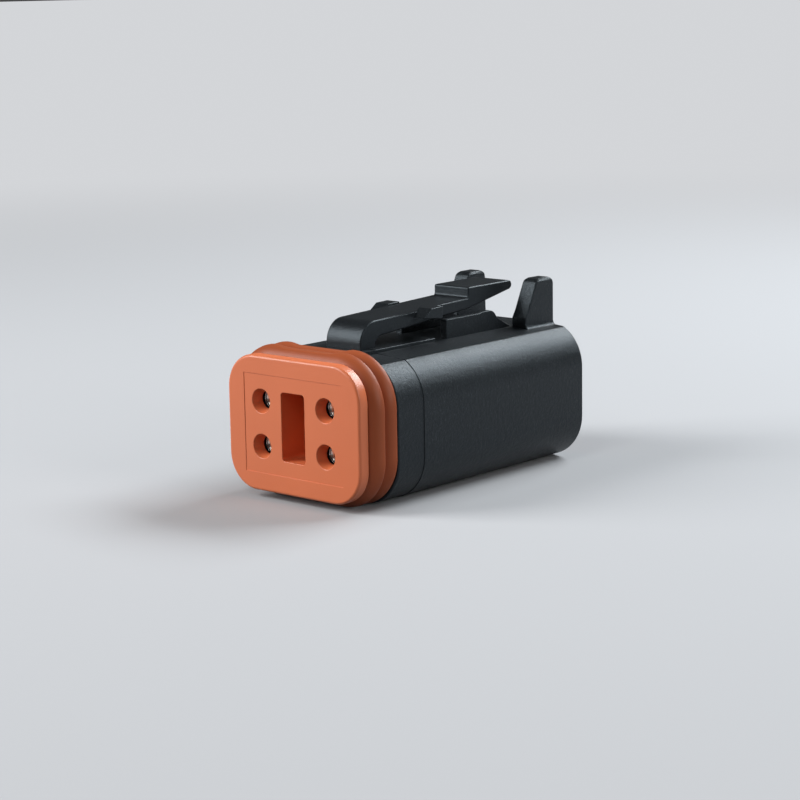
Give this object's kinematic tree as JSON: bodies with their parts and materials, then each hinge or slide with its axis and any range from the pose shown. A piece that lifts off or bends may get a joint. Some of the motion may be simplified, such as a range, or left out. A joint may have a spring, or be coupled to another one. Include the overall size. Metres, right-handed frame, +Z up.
{
  "type": "sealed rectangular wire connector plug",
  "caption": "Sealed multi-way automotive plug: black housing with a side-catch latch lever, ribbed orange front seal, orange wedge lock, socket contacts and a rear wire seal.",
  "frame": {"origin": "the middle of the bounding box's bottom face: under the middle of the plug, on the plane it rests on", "axes": "+Y runs from the mating face to the wires (the longest extent), +Z is up, out of the latch side, and +X is to the right for someone who looks at the mating face; the picture is taken from the mating face's side, turned about 41 degrees to +X"},
  "size_m": [0.023, 0.041, 0.0229],
  "materials": {
    "housing": "moulded, finely textured glass-filled nylon, black",
    "wedge": "satin moulded, orange",
    "seal": "silicone rubber, orange, slightly oiled",
    "contact": "nickel plated",
    "hood": "bright stainless sheet"
  },
  "bodies": {
    "plug": {"housing": "housing", "front_seal": "seal", "rear_seal": "seal", "contact_1": "contact", "contact_2": "contact", "contact_3": "contact", "contact_4": "contact", "contact_hood_1": "hood", "contact_hood_2": "hood", "contact_hood_3": "hood", "contact_hood_4": "hood"},
    "lever": {"latch_lever": "housing"},
    "wedge": {"wedge_lock": "wedge"}
  },
  "joints": [
    {"name": "latch_press", "type": "hinge", "parent": "plug", "child": "lever", "pos_m": [0, -0.0103, 0.0174], "axis": [-1, 0, 0], "range_deg": [0, 6], "stiffness_Nm_per_rad": 1.2},
    {"name": "wedge_pull", "type": "slide", "parent": "plug", "child": "wedge", "axis": [0, -1, 0], "range_m": [0, 0.01]}
  ]
}
